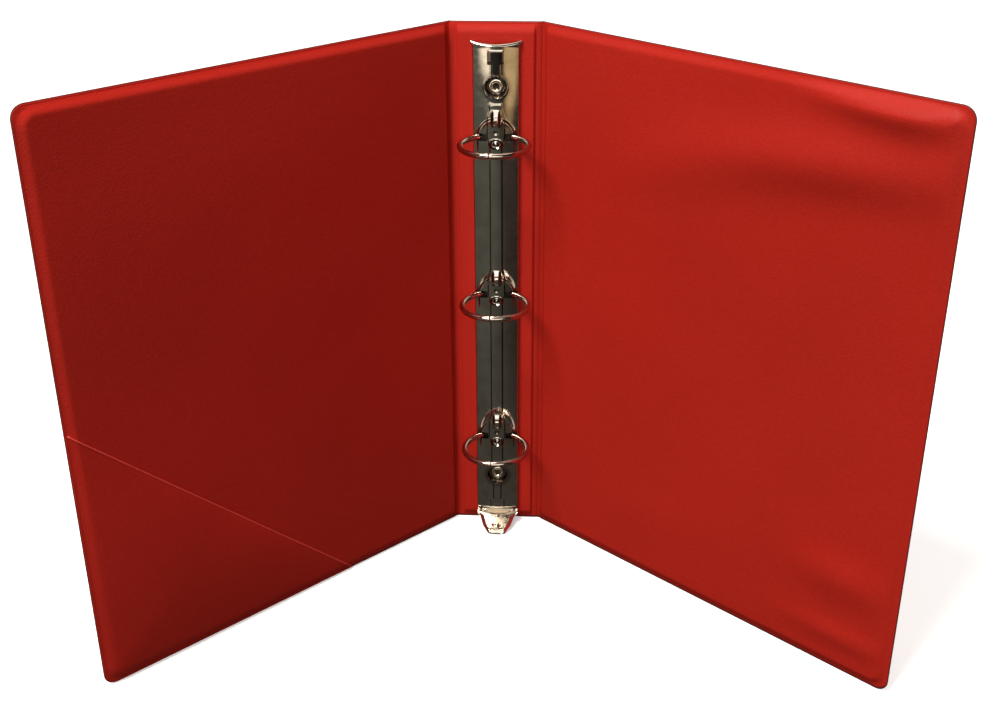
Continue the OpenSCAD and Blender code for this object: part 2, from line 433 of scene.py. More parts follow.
def cover_skin(cover, side, step):
    """One sheet of a cover with its half of the hinge strip: side 1 is inner, -1 is outer."""
    u, z = cover_grid(cover, step)
    height = inner_height(cover, u, z) if side > 0 else cover_height(cover, u, z)
    under = np.maximum(height - SHEET_T, 0)
    under = np.where(height - under < SHEET_LEAST_T, height - SHEET_LEAST_T, under)
    top = cover.place(u, side * height, z)
    name = f"{cover.side}_{'inner' if side > 0 else 'outer'}_vinyl"
    skin = link(name, closed_sheet(name, top, cover.place(u, side * under, z)))
    sharpen(skin, 50)
    end = Vector(cover.place(np.array(BEND_HALF), np.array(0.0), np.array(cover.hinge[2])) * 0.001)
    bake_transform(skin)
    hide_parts(f"{cover.side}_{'inner' if side > 0 else 'outer'}_sheet")
    if side > 0:
        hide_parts(cover.side + "_hinge_web")
    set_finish(skin, "vinyl")

    def outline_distance(points, radius):
        return edge_distance(cover.reach(points), points[:, 2], cover.width, radius)

    # Covers: painted shade at the cut edge and a painted highlight on the margin, with no overall painted
    # light.
    mark_margin(skin, 0, MARGIN_HIGHLIGHT[cover.side], outline_distance)
    return skin


def spine_height(x, z):
    """Height of the spine's sheets above the middle of the case."""
    from_end = np.minimum(z, CASE_H - z)
    rise = smooth_step((SPINE_SLOPE[0] + SPINE_SLOPE[1] - np.abs(x)) / SPINE_SLOPE[1])
    crease = groove(HINGE_X - np.abs(x), -CREASE[0], CREASE[1], CREASE[2])
    return case_height(from_end, from_end, rise) - crease


def spine_skin(side):
    """One sheet of the spine: side 1 is inner, -1 is outer."""
    half = spaced((0, 1.2), (SPINE_SLOPE[0] - 0.6, 0.2), SPINE_EDGE)
    xs = np.concatenate([-half[:0:-1], half])
    x, z = np.meshgrid(xs, case_rows(2), indexing="ij")
    height = spine_height(x, z)
    under = np.maximum(height - SHEET_T, 0)
    name = "spine_inner_vinyl" if side > 0 else "spine_outer_vinyl"
    top = np.stack([x, -side * height, z], -1)
    bottom = np.stack([x, -side * under, z], -1)
    skin = link(name, closed_sheet(name, top, bottom))
    sharpen(skin, 50)
    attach(skin, "spine")
    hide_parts("spine_inner_sheet" if side > 0 else "spine_outer_sheet")
    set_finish(skin, "vinyl")

    def outline_distance(points, radius):
        return np.minimum(points[:, 2], CASE_H - points[:, 2])

    # The whole spine sheet is lightened by painted light, with a painted highlight on its margins and
    # painted shade at its cut ends.
    mark_margin(skin, SPINE_PAINTED_LIGHT, MARGIN_HIGHLIGHT["spine"], outline_distance)
    return skin


def tube(name, path, radius):
    """A closed tube round a path of millimetre points."""
    sides = 10
    ahead = np.gradient(path, axis=0)
    ahead /= np.linalg.norm(ahead, axis=1)[:, None]
    normal = np.cross(ahead, [0.3, -1.0, 0.1])
    normal /= np.linalg.norm(normal, axis=1)[:, None]
    other = np.cross(ahead, normal)
    turn = loop_turns(sides)[None, :, None]
    loops = path[:, None] + radius * (np.cos(turn) * normal[:, None] + np.sin(turn) * other[:, None])
    return link(name, mesh_from(name, loops.reshape(-1, 3), loop_faces(len(path), sides)))


# -------------------- corner pocket

# Height of the pocket's outer face over the cover's sheet, and its thickness.
POCKET_LIFT = 0.34
POCKET_T = 0.3
# How far inside the cover's outline it is welded.
POCKET_INSET = 0.3
# How far it bulges in the middle and gapes at its mouth.
POCKET_BULGE = 2.2
POCKET_GAPE = 0.35
POCKET_FREE_MARGIN = 6
POCKET_EDGE_DROP = 0.1
POCKET_LIP_R = 0.33
POCKET_LIP_SINK = 0.06


def pocket_outline(cover, start, top, count):
    """Points round the welded edges: along the bottom, round the corner and up the free edge."""
    r = CORNER_R - POCKET_INSET
    low, side = POCKET_INSET, cover.width - POCKET_INSET
    bottom = side - r - start
    arc = math.pi / 2 * r
    total = bottom + arc + top - low - r
    points = []
    for k in range(count):
        run = total * k / (count - 1)
        if run < bottom:
            points.append((start + run, low))
        elif run < bottom + arc:
            turn = (run - bottom) / r
            points.append((side - r + r * math.sin(turn), low + r - r * math.cos(turn)))
        else:
            points.append((side, low + r + run - bottom - arc))
    return np.array(points)


def corner_pocket(cover):
    """Triangle of vinyl welded round the cover's lower free corner, with a lip at its mouth."""
    low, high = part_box("corner_pocket")
    top = high.z * 1000
    start = (-high.x * 1000 - HINGE_X) / math.cos(cover.angle)
    count = 150
    outline = pocket_outline(cover, start, top, count)
    share = np.linspace(0, 1, count)[:, None]
    mouth = outline[:1] * (1 - share) + outline[-1:] * share
    # Rows from the mouth (0) to the welded edges (1), close together at both.
    inward = np.array([0, 0.004, 0.01, 0.02, 0.04, *np.linspace(0.07, 0.9, 34), 0.93, 0.95,
                       0.965, 0.975, 0.985, 0.992, 1.0])
    grid = mouth[:, None] * (1 - inward[None, :, None]) + outline[:, None] * inward[None, :, None]
    u, z = grid[..., 0], grid[..., 1]
    middle = np.sin(math.pi * share)
    bulge = POCKET_BULGE * np.sin(math.pi * inward[None] ** 0.7) * middle**2
    gape = POCKET_GAPE * (1 - inward[None]) ** 2 * middle
    free = smooth_step((edge_distance(u, z, cover.width) - FLANGE_W) / POCKET_FREE_MARGIN)
    height = inner_height(cover, u, z) + POCKET_LIFT + (bulge + gape) * free
    rim = POCKET_EDGE_DROP * smooth_step(1 - inward[None] / 0.006)
    top_grid = cover.place(u, height - rim, z)
    under = cover.place(u, height - POCKET_T, z)
    pocket = link("corner_pocket_vinyl", closed_sheet("corner_pocket_vinyl", top_grid, under))
    sharpen(pocket, 50)
    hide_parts("corner_pocket")
    run = inner_height(cover, mouth[:, 0], mouth[:, 1]) + POCKET_LIFT + (gape * free)[:, 0]
    lip_path = cover.place(mouth[:, 0], run - POCKET_LIP_SINK, mouth[:, 1])[1:-1]
    lip = tube("pocket_lip", lip_path, POCKET_LIP_R)
    for piece in (pocket, lip):
        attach(piece, cover.side + "_cover")
        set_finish(piece, "vinyl")
    # The pocket is cut as a triangle, with its right angle in the cover's lower free corner.
    return [pocket, lip]


# -------------------- cover plate

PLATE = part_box("cover_plate")
MID_Z = centre("middle_ring_left")[2]
RING_ZS = [centre(k + "_ring_left")[2] for k in ("lower", "middle", "upper")]
RIVET_ZS = [centre(k + "_rivet")[2] for k in ("lower", "upper")]
PLATE_HIGH = PLATE[1].z * 1000
PLATE_LOW = 2 * MID_Z - PLATE_HIGH
PLATE_HALF = PLATE[1].x * 1000
PLATE_T = 0.7
# Past CURL_X the sides curl down to the spine: (outer x, share of the way down, inner x, share).
CURL_X = 8.9
CURL = [(9.15, 0.05, 8.6, 0.25), (9.32, 0.14, 8.65, 0.4), (PLATE_HALF, 0.3, 8.7, 0.6),
        (PLATE_HALF, 0.95, 8.7, 0.9), (PLATE_HALF - 0.1, 1.0, 8.75, 1.0)]
# The arch: height in front of the middle of the case, and how much lower its sides are.
ARCH_TOP, ARCH_DROP = 5.15, 1.95
# Each ring slot: (inner x, outer x, half height).
SLOT = (3.9, 8.8, 1.6)
# The rib along the middle: (half width on top, half width at its foot, height).
RIB = (2.2, 2.7, 0.2)
# It stops this far from each rivet, and widens by this much at the rings.
RIB_STOP, RIB_END = 6.2, 1.2
RIB_FLARE = 1.1
PAD_H, RAMP_H = 0.3, 0.95
# The rivet's cup, and the small rolled rim round it: (radius, height).
CUP_R = 3.7
CUP_RIM = (4.7, 0.09)
# The raised rectangles at the lower and upper ends: distance from the rivet, and height.
BOSSES = (15.4, 12.2)
BOSS_H = 0.18
END_ROLL, END_DROP = 1.7, 1.2
# The top end is cut hollow and spreads out a little: (length, depth in the middle, share).
TOP_END, TOP_HOLLOW, TOP_FLARE = 2.6, 1.2, 0.11


def bump(distance, edge, ramp):
    """1 where distance is under edge, falling to 0 over the ramp beyond it."""
    return smooth_step(1 - (distance - edge) / ramp)


def ring_platform(x, dz):
    """Height of the pad round two ring slots, distance from its dimple (1 at the edge), and its depth."""
    oval = np.hypot(x / 7.7, np.maximum(dz, 0) / 8.2)
    fade = smooth_step((dz + 8.0) / 6.5)
    pad = PAD_H * bump(oval, 0.94, 0.07) * fade
    ramp = RAMP_H * bump(dz, 8.4, 3.6) * bump(-dz, -6.0, 2.0) * bump(np.abs(x), 0.8, 1.3)
    mark = 0.25 * bump(np.hypot(x, dz - 2.1), 0.3, 0.8)
    spot = np.hypot(x / 2.9, (dz + 2.7) / 2.2)
    well = -0.75 * bump(spot, 0.62, 0.38) + 0.65 * bump(spot, 0.1, 0.45)
    return pad + ramp - mark, spot, well


def end_boss(x, dz, middle):
    """1 on the raised rectangle near one end of the plate and on its neck to the rivet cup."""
    rectangle = bump(np.abs(x), 2.9, 0.35) * bump(np.abs(dz - middle), 2.3, 0.35)
    neck = bump(np.abs(x), 1.5, 0.35) * bump(np.abs(dz - middle / 2), middle / 2, 0.4)
    return np.maximum(rectangle, neck)


def rivet_distance(x, z):
    return np.minimum(*[np.hypot(x, z - k) for k in RIVET_ZS])


def plate_surface(x, z):
    """Distance of the plate's outer face in front of the middle of the case."""
    ax = np.abs(x)
    arch = ARCH_TOP - ARCH_DROP * (ax / PLATE_HALF) ** 2
    above_low = smooth_step((z - RIVET_ZS[0] - RIB_STOP) / RIB_END)
    between = above_low * smooth_step((RIVET_ZS[1] - RIB_STOP - z) / RIB_END)
    flare = sum(RIB_FLARE * bump(z - k, 7.0, 5.5) * bump(k - z, 0.0, 3.0) for k in RING_ZS)
    rib = RIB[2] * bump(ax - flare, RIB[0], RIB[1] - RIB[0]) * between
    height = arch + rib
    for ring_z in RING_ZS:
        pad, spot, well = ring_platform(x, z - ring_z)
        in_spot = bump(spot, 0.95, 0.1)
        level = height + pad
        height = level * (1 - in_spot) + (arch + 0.75 + well) * in_spot
    for rivet_z, way, middle in zip(RIVET_ZS, (-1, 1), BOSSES):
        height = height + BOSS_H * end_boss(x, way * (z - rivet_z), middle)
    from_rivet = rivet_distance(x, z)
    rim_r, rim_h = CUP_RIM
    rim = rim_h * bump(np.abs(from_rivet - rim_r), 0.15, 0.45)
    cup = bump(from_rivet, CUP_R, 0.7)
    floor = BOARD_V + PLATE_T + 0.05
    return (height + rim) * (1 - cup) + floor * cup


def plate_columns():
    """The section's x stops between its two curled sides."""
    inner = spaced((0, 0.26), (SLOT[0], 0.26), (SLOT[1], 0.1), CURL_X)
    return np.concatenate([-inner[:0:-1], inner])


def mark_painted_shade(plate):
    """Marks painted shade and dark reflection: the sides of the steps, the upper boss and round the
    rivets.
    """
    points = vertex_points(plate)
    x = np.clip(points[:, 0], -PLATE_HALF + 0.3, PLATE_HALF - 0.3)
    z = points[:, 2]
    near = 0.15
    slope = (plate_surface(x + near, z) - plate_surface(x - near, z)) / (2 * near)
    arch = -2 * ARCH_DROP * x / PLATE_HALF**2
    # Painted shade: the sides of the steps, the upper boss and a ring round each rivet stand in for dark
    # reflections.
    steps = smooth_step((np.abs(slope - arch) - 0.06) / 0.2)
    boss = 0.92 * smooth_step(6 * end_boss(x, z - RIVET_ZS[1], BOSSES[1]))
    ring = 0.55 * bump(rivet_distance(x, z), 4.8, 2.4)
    mark(plate, "painted_shade", np.maximum(np.maximum(steps, boss), ring))


def plate_rows():
    """The z stops: close together at the ends and round the ring slots."""
    finest, fine, plain = 0.15, 0.32, 0.45
    pad_reach = 13
    stops = [(PLATE_LOW, finest), (PLATE_LOW + END_ROLL, plain)]
    for ring_z in RING_ZS:
        stops += [(ring_z + k, fine) for k in (-pad_reach, -SLOT[2], SLOT[2])]
        stops.append((ring_z + pad_reach, plain))
    return spaced(*stops, (PLATE_HIGH - END_ROLL, finest), PLATE_HIGH)


def cover_plate():
    """The arched plate over the blades, with the lever's two ears."""
    xs = plate_columns()
    zs = plate_rows()
    x, z = np.meshgrid(xs, zs, indexing="ij")
    from_end = np.minimum(z - PLATE_LOW, PLATE_HIGH - z)
    roll = 1 - np.sqrt(1 - np.clip(1 - from_end / END_ROLL, 0, 1) ** 2)
    y = plate_surface(x, z) - END_DROP * roll
    top = np.stack([x, -y, z], -1)
    under = np.stack([x, -(y - PLATE_T), z], -1)
    foot = BOARD_V + 0.03

    def side_line(edge_y, at_x, down):
        return np.stack([np.full_like(edge_y, at_x), -(edge_y + (foot - edge_y) * down), zs], -1)

    for way, edge in ((1, -1), (-1, 0)):
        outer = [side_line(y[edge], way * out_x, down) for out_x, down, _, _ in CURL]
        inner = [side_line(y[edge], way * in_x, down) for _, _, in_x, down in CURL]
        if way > 0:
            top = np.concatenate([top, outer])
            under = np.concatenate([under, inner])
        else:
            top = np.concatenate([outer[::-1], top])
            under = np.concatenate([inner[::-1], under])
    for face in (top, under):
        near_top = smooth_step(1 - (PLATE_HIGH - face[..., 2]) / TOP_END)
        hollow = TOP_HOLLOW * (1 - (face[..., 0] / PLATE_HALF) ** 2)
        face[..., 2] -= hollow * near_top
        face[..., 0] *= 1 + TOP_FLARE * near_top
    # The x of each column; the curled sides count as far outside the slots.
    past_slots = [2 * PLATE_HALF] * len(CURL)
    section = np.concatenate([np.negative(past_slots), xs, past_slots])

    def keep(i, j):
        mid_x = abs(section[i] + section[i + 1]) / 2
        mid_z = (zs[j] + zs[j + 1]) / 2
        in_slot = any(abs(mid_z - k) < SLOT[2] for k in RING_ZS)
        return not (in_slot and SLOT[0] < mid_x < SLOT[1])

    plate = link("cover_plate_steel", closed_sheet("cover_plate_steel", top, under, keep))
    sharpen(plate, 42)
    mark_painted_shade(plate)
    ears = [lever_ear(way) for way in (-1, 1)]
    for part in (plate, *ears):
        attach(part, "spine")
        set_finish(part, "plate_steel")
    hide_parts("cover_plate")
    return [plate, *ears]


# -------------------- turned and swept metal


def lathe(name, profile, place, axis):
    """Turns a closed (radius, height) profile round an axis through place."""
    segments = 48
    axis = Vector(axis).normalized()
    side = axis.orthogonal().normalized()
    other = axis.cross(side)
    rings = []
    for k in range(segments):
        turn = 2 * math.pi * k / segments
        out = side * math.cos(turn) + other * math.sin(turn)
        rings.append([Vector(place) + out * max(r, 0) + axis * h for r, h in profile])
    points = [tuple(p) for ring in rings for p in ring]
    count = len(profile)
    faces = []
    for k in range(segments):
        for j in range(count):
            a, b = k * count + j, k * count + (j + 1) % count
            c = ((k + 1) % segments) * count
            faces.append((a, b, c + (j + 1) % count, c + j))
    mesh = mesh_from(name, points, faces)
    work = bmesh.new()
    work.from_mesh(mesh)
    bmesh.ops.dissolve_degenerate(work, edges=work.edges, dist=1e-7)
    bmesh.ops.recalc_face_normals(work, faces=work.faces)
    work.to_mesh(mesh)
    work.free()
    return link(name, mesh)


def arc_points(middle, radius, start, end, count):
    """Points of an arc, from one angle in degrees to another."""
    turns = np.radians(np.linspace(start, end, count))
    return [(middle[0] + radius * math.cos(t), middle[1] + radius * math.sin(t)) for t in turns]


WIRE_R = 1.2
# The ring's circle, and the angle by which its joint lies left of the middle.
RING_R = 13.9
RING_Y = -16.2
JOINT_TURN = 5.9
# At this angle the wire bends off the circle into a straight leg down to the blade.
LEG_TURN = 58.0
LEG_BEND = 1.4
LEG_END_Y = -2.1
JOINT_GAP = 0.03
# The left half's nib and the right half's socket: (radius, height) beyond the wire's end.
NIB = [(0.78, 0.0), (0.7, 0.15), (0.4, 0.95), (0.15, 1.05)]
SOCKET = [(0.84, 0.0), (0.8, -0.1), (0.78, -1.1), (0.2, -1.15)]
# The wire's shoulder at the joint: (length, how much thinner the wire is there).
SHOULDER = (0.28, 0.2)


def wire_path(way):
    """Middle of a right (way 1) or left (way -1) half ring, from the joint to the blade."""
    first = -90 - JOINT_TURN * way
    points = arc_points((0, RING_Y), RING_R, first, LEG_TURN, 110)
    turn = math.radians(LEG_TURN)
    reach = RING_R + LEG_BEND
    bend = (reach * math.cos(turn), RING_Y + reach * math.sin(turn))
    points += arc_points(bend, LEG_BEND, 180 + LEG_TURN, 180, 12)[1:]
    points += [(points[-1][0], LEG_END_Y)]
    return np.array(points) * (way, 1)


def ring_half(level, side, ring_z):
    """Round wire with a rounded shoulder at the joint, and a nib or socket in its end."""
    way = 1 if side == "right" else -1
    path = wire_path(way)
    run = np.concatenate([[0], np.cumsum(np.linalg.norm(np.diff(path, axis=0), axis=1))])
    # A few more points at the joint, for the shoulder.
    finer = np.sort(np.concatenate([run, [0.05, 0.12, 0.25, 0.45]]))
    path = np.stack([np.interp(finer, run, path[:, k]) for k in (0, 1)], -1)
    ahead = np.gradient(path, axis=0)
    ahead /= np.linalg.norm(ahead, axis=1)[:, None]
    shoulder_length, shoulder_step = SHOULDER
    radius = WIRE_R - shoulder_step * np.clip(1 - finer / shoulder_length, 0, 1) ** 1.5
    sides = 28
    turn = loop_turns(sides)

    def loop(point, tangent, r):
        normal = np.array([-tangent[1], tangent[0]])
        flat = point + np.outer(np.cos(turn) * r, normal)
        return np.column_stack([flat, ring_z + np.sin(turn) * r])

    loops = [loop(p, t, r) for p, t, r in zip(path, ahead, radius)]
    back = -ahead[0]
    end = NIB if side == "left" else SOCKET
    head = [loop(path[0] + back * (h - JOINT_GAP), ahead[0], r) for r, h in end]
    loops[0] = loop(path[0] - back * JOINT_GAP, ahead[0], radius[0])
    loops = head[::-1] + loops + [loop(path[-1] + ahead[-1] * 0.02, ahead[-1], WIRE_R * 0.5)]
    name = f"{level}_ring_{side}_wire"
    ring = link(name, mesh_from(name, np.concatenate(loops), loop_faces(len(loops), sides)))
    sharpen(ring, 40)
    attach(ring, side + "_rings")
    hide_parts(f"{level}_ring_{side}")
    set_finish(ring, "bright_nickel")
    return ring


def rivet(level, rivet_z):
    """Tubular rivet: rolled rim inside the plate's cup, domed head behind the spine."""
    floor = BOARD_V + PLATE_T
    back = -BOARD_V
    profile = [(0, back - 1.0), (1.2, back - 0.97), (2.4, back - 0.8), (3.4, back - 0.45),
               (4.0, back - 0.12), (4.15, back), (1.5, back), (1.5, floor + 0.05),
               (3.0, floor + 0.05), (3.15, floor + 0.22), (3.05, floor + 0.45), (2.7, floor + 0.66),
               (2.25, floor + 0.74), (1.8, floor + 0.66), (1.45, floor + 0.4), (1.25, floor - 0.2),
               (1.2, -0.6), (0.9, -0.75), (0, -0.8)]
    piece = lathe(level + "_rivet_metal", profile, (0, 0, rivet_z), (0, -1, 0))
    sharpen(piece, 45)
    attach(piece, "spine")
    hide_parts(level + "_rivet")
    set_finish(piece, "bright_nickel")
    return piece


# -------------------- booster lever

LEVER_SLOPE = math.radians(18)
LEVER_T = 0.9
PIVOT = np.array([0, -2.9, PLATE_LOW - 1.7])
# Where the plate's ears and the lever's cheeks begin and end along the pivot.
EAR_IN, EAR_OUT = 7.4, 8.1
CHEEK_IN, CHEEK_OUT = 8.35, 9.3
EAR_R = 1.25
PIN_R = 0.55
CHEEK_ROUNDING = 0.12
# Half of the thumb piece: (distance from the pivot, half width).
LEVER_OUTLINE = [(1.5, 9.3), (2.4, 9.25), (3.2, 8.4), (4.2, 7.7), (6.4, 7.1), (8.8, 6.4),
                 (11.2, 5.3), (12.9, 4.5), (13.6, 3.9)]
LEVER_CURL = 1.1
# The neck in lever coordinates (s, q), and the tongue as (y, z) from the pivot.
WEB_HALF_T = 0.36
WEB_HALF_W = 7.1
NECK = [(1.9, 0.0), (1.2, 0.05), (0.5, 0.15), (0.1, 0.3), (-0.1, 0.55)]
TONGUE = [(-0.16, 0.8), (-0.14, 1.15), (-0.1, 1.4)]


def lever_ear(way):
    """Rounded ear of the plate that carries one of the lever's pins."""
    turn = [math.radians(k) for k in range(180, 361, 12)]
    outline = [(PIVOT[1] + EAR_R * math.cos(t), PIVOT[2] + EAR_R * math.sin(t)) for t in turn]
    root = PLATE_LOW + 0.9
    outline = [(PIVOT[1] - EAR_R * 0.65, root)] + outline + [(PIVOT[1] + EAR_R, root)]
    points = [(way * x, y, z) for x in (EAR_IN, EAR_OUT) for y, z in outline]
    count = len(outline)
    faces = [tuple(range(count)), tuple(range(count, 2 * count))]
    faces += [(k, (k + 1) % count, (k + 1) % count + count, k + count) for k in range(count)]
    name = "plate_ear_left" if way < 0 else "plate_ear_right"
    ear = link(name, mesh_from(name, points, faces))
    bevel = ear.modifiers.new("bevel", "BEVEL")
    bevel.width = mm(0.12)
    bevel.segments = 2
    sharpen(ear, 40)
    return ear


def lever_frame(x, s, q):
    """Lever coordinates to the row's: x across, s out from the pivot, q up off its face."""
    c, d = math.cos(LEVER_SLOPE), math.sin(LEVER_SLOPE)
    return np.stack([x, PIVOT[1] - s * c - q * d, PIVOT[2] - s * d + q * c], -1)


def lever_dimples(x, s):
    """1 in the lever's two dimples, near its tip."""
    return bump(np.hypot(np.abs(x) - 1.3, s - 9.4), 0.5, 0.55)


def lever_face(x, s, half):
    """Height of the thumb face: sides and tip curled down, two dimples and a short ridge."""
    ax = np.abs(x)
    length = LEVER_OUTLINE[-1][0]
    curl = LEVER_CURL * smooth_step((ax - (half - 1.5)) / 1.5) * smooth_step((s - 2.0) / 1.5)
    tip = 0.8 * smooth_step((s - length + 1.6) / 1.6)
    ridge = 0.2 * bump(ax, 0.3, 0.8) * bump(np.abs(s - 3.6), 0.6, 0.9)
    sag = 0.45 * (ax / CHEEK_OUT) ** 2
    return sag - np.maximum(curl, tip) - 0.3 * lever_dimples(x, s) + ridge + LEVER_T / 2


def booster_lever():
    """Thumb piece, neck with its tongue, and two cheeks with pins."""
    stops = np.array(LEVER_OUTLINE)
    ss = spaced((stops[0, 0], 0.18), stops[-1, 0])
    halves = np.interp(ss, stops[:, 0], stops[:, 1])
    across = np.linspace(-1, 1, 91)
    across = np.sign(across) * np.abs(across) ** 0.85
    x = halves[:, None] * across[None]
    s = np.repeat(ss[:, None], len(across), 1)
    tip_round = 0.5 * (np.abs(across[None]) ** 3) * smooth_step((s - 9.5) / 2.4)
    s = s - tip_round
    q = lever_face(x, s, halves[:, None])
    top = lever_frame(x, s, q)
    under = lever_frame(x * 0.93, s, q - LEVER_T * 0.8)
    name = "booster_lever_steel"
    lever = link(name, closed_sheet(name, top, under))
    sharpen(lever, 50)
    points = vertex_points(lever)
    from_pivot = PIVOT - points
    out = from_pivot[:, 1] * math.cos(LEVER_SLOPE) + from_pivot[:, 2] * math.sin(LEVER_SLOPE)
    # Painted shade in the lever's two dimples.
    mark(lever, "painted_shade", 0.9 * lever_dimples(points[:, 0], out))
    parts = [lever, lever_web()] + [lever_cheek(way) for way in (-1, 1)]
    for part in parts:
        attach(part, "lever")
        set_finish(part, "bright_nickel")
    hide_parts("booster_lever")
    return parts


def lever_web():
    """Neck between the plate's ears, and the short tongue that turns up towards the plate."""
    xs = np.linspace(-WEB_HALF_W, WEB_HALF_W, 41)
    rows_top, rows_under = [], []
    for rows, lift in ((rows_top, WEB_HALF_T), (rows_under, -WEB_HALF_T)):
        rows += [lever_frame(xs, np.full_like(xs, s), q + lift) for s, q in NECK]
        for y, z in TONGUE:
            narrow = xs * (1 - 0.12 * z)
            rows.append([(x, PIVOT[1] + y + lift, PIVOT[2] + z) for x in narrow])
    name = "booster_lever_tongue"
    web = link(name, closed_sheet(name, np.array(rows_top), np.array(rows_under)))
    sharpen(web, 40)
    return web


def lever_cheek(way):
    """Round cheek and pin at one end of the pivot."""
    e = CHEEK_ROUNDING
    cheek_end = CHEEK_IN - CHEEK_OUT
    pin_end = EAR_IN - CHEEK_OUT - 0.1
    profile = [(0, 0), (EAR_R - e, 0), (EAR_R, -e), (EAR_R, cheek_end + e), (EAR_R - e, cheek_end),
               (PIN_R, cheek_end), (PIN_R, pin_end), (0, pin_end)]
    place = (way * CHEEK_OUT, PIVOT[1], PIVOT[2])
    cheek = lathe("lever_cheek_left" if way < 0 else "lever_cheek_right", profile, place, (way, 0, 0))
    sharpen(cheek, 40)
    return cheek


# -------------------- materials


def mixed_colour(tree, value, first, second):
    """A colour between two colours or colour outputs."""
    node = tree.nodes.new("ShaderNodeMix")
    node.data_type = "RGBA"
    tree.links.new(value, node.inputs["Factor"])
    for socket, colour in ((6, first), (7, second)):
        if isinstance(colour, tuple):
            node.inputs[socket].default_value = (*colour, 1)
        else:
            tree.links.new(colour, node.inputs[socket])
    return node.outputs[2]


class Finish:
    """A Principled material, with short calls for the nodes that vary it over the surface."""

    def __init__(self, name, **sockets):
        self.material = bpy.data.materials.new(name)
        self.material.use_nodes = True
        self.tree = self.material.node_tree
        self.tree.nodes.clear()
        self.bsdf = self.add("ShaderNodeBsdfPrincipled")
        out = self.add("ShaderNodeOutputMaterial")
        self.join(self.bsdf.outputs["BSDF"], out.inputs["Surface"])
        for socket, value in sockets.items():
            self.bsdf.inputs[socket.replace("_", " ")].default_value = value
        self.where = self.add("ShaderNodeTexCoord").outputs["Object"]

    def add(self, kind, **inputs):
        node = self.tree.nodes.new(kind)
        for socket, value in inputs.items():
            node.inputs[socket.replace("_", " ")].default_value = value
        return node

    def join(self, source, target):
        self.tree.links.new(source, target)

    def stretched(self, scale):
        """The object's own coordinates, scaled differently along each axis."""
        node = self.add("ShaderNodeMapping", Scale=scale)
        self.join(self.where, node.inputs["Vector"])
        return node.outputs["Vector"]

    def noise(self, scale, detail, roughness=0.55, stretch=None):
        node = self.add("ShaderNodeTexNoise", Scale=scale, Detail=detail, Roughness=roughness)
        self.join(self.stretched(stretch) if stretch else self.where, node.inputs["Vector"])
        return node.outputs["Fac"]

    def cells(self, scale):
        """0 in the middle of soft round cells, rising towards their borders."""
        node = self.add("ShaderNodeTexVoronoi", Scale=scale)
        node.feature = "SMOOTH_F1"
        node.inputs["Smoothness"].default_value = 0.6
        self.join(self.where, node.inputs["Vector"])
        return node.outputs["Distance"]

    def marked(self, name):
        """A number stored on the points of the piece; 0 where there is none."""
        node = self.add("ShaderNodeAttribute")
        node.attribute_name = name
        return node.outputs["Fac"]

    def times(self, first, second):
        node = self.add("ShaderNodeMath")
        node.operation = "MULTIPLY"
        self.join(first, node.inputs[0])
        self.join(second, node.inputs[1])
        return node.outputs[0]

    def less(self, value, share, drop):
        """The value, lowered by drop where share is 1."""
        node = self.add("ShaderNodeMath")
        node.operation = "MULTIPLY_ADD"
        self.join(share, node.inputs[0])
        node.inputs[1].default_value = -drop
        self.join(value, node.inputs[2])
        return node.outputs[0]

    def spread(self, value, low, high, to_low=0.0, to_high=1.0):
        """Maps value from low..high to to_low..to_high, clamped."""
        limits = {"From Min": low, "From Max": high, "To Min": to_low, "To Max": to_high}
        node = self.add("ShaderNodeMapRange", **limits)
        self.join(value, node.inputs["Value"])
        return node.outputs["Result"]

    def mixed(self, value, first, second):
        return mixed_colour(self.tree, value, first, second)

    def bump(self, value, depth, strength, after=None):
        """A bump of depth metres where value goes from 0 to 1, on top of another bump."""
        node = self.add("ShaderNodeBump", Strength=strength, Distance=depth)
        self.join(value, node.inputs["Height"])
        if after:
            self.join(after, node.inputs["Normal"])
        return node.outputs["Normal"]

    def wear(self, **outputs):
        """Feeds the shader's sockets from node outputs."""
        for socket, output in outputs.items():
            self.join(output, self.bsdf.inputs[socket.replace("_", " ")])
        return self.material


def vinyl_finish(name, shade=1.0, highlight_lift=0.0):
    """Calendered vinyl: a fine pebbled grain, slightly uneven in gloss and in colour."""

    # shade scales the colours and the last argument adds to them: a lighter copy, used as a painted
    # highlight.
    def tone(red, green, blue):
        return tuple(c * shade + highlight_lift for c in (red, green, blue))

    finish = Finish(name, Specular_IOR_Level=0.12)
    broad = finish.spread(finish.noise(9, 2), 0.35, 0.65)
    fine = finish.spread(finish.noise(700, 4, 0.7), 0.3, 0.7)
    colour = finish.mixed(broad, tone(0.36, 0.0142, 0.0083), tone(0.4, 0.0155, 0.0088))
    light = finish.mixed(broad, tone(0.4, 0.0165, 0.0088), tone(0.45, 0.0185, 0.01))
    colour = finish.mixed(fine, colour, light)
    # Painted light: lighter red on the margins as a highlight and over the whole spine sheet.
    margin = finish.marked("margin")
    colour = finish.mixed(margin, colour, tone(0.56, 0.022, 0.013))
    # Painted shade: dark red along the cut edge.
    colour = finish.mixed(finish.marked("cut_edge_shade"), colour, tone(0.12, 0.015, 0.013))
    grain = finish.spread(finish.cells(1250), 0.0, 0.8)
    normal = finish.bump(finish.noise(160, 3), 0.00012, 0.5)
    normal = finish.bump(grain, 0.00006, 0.7, normal)
    rough = finish.spread(finish.noise(26, 4), 0.3, 0.7, 0.46, 0.58)
    # The same mark also lowers the roughness a little.
    rough = finish.less(rough, margin, 0.12)
    return finish.wear(Base_Color=colour, Roughness=rough, Normal=normal)


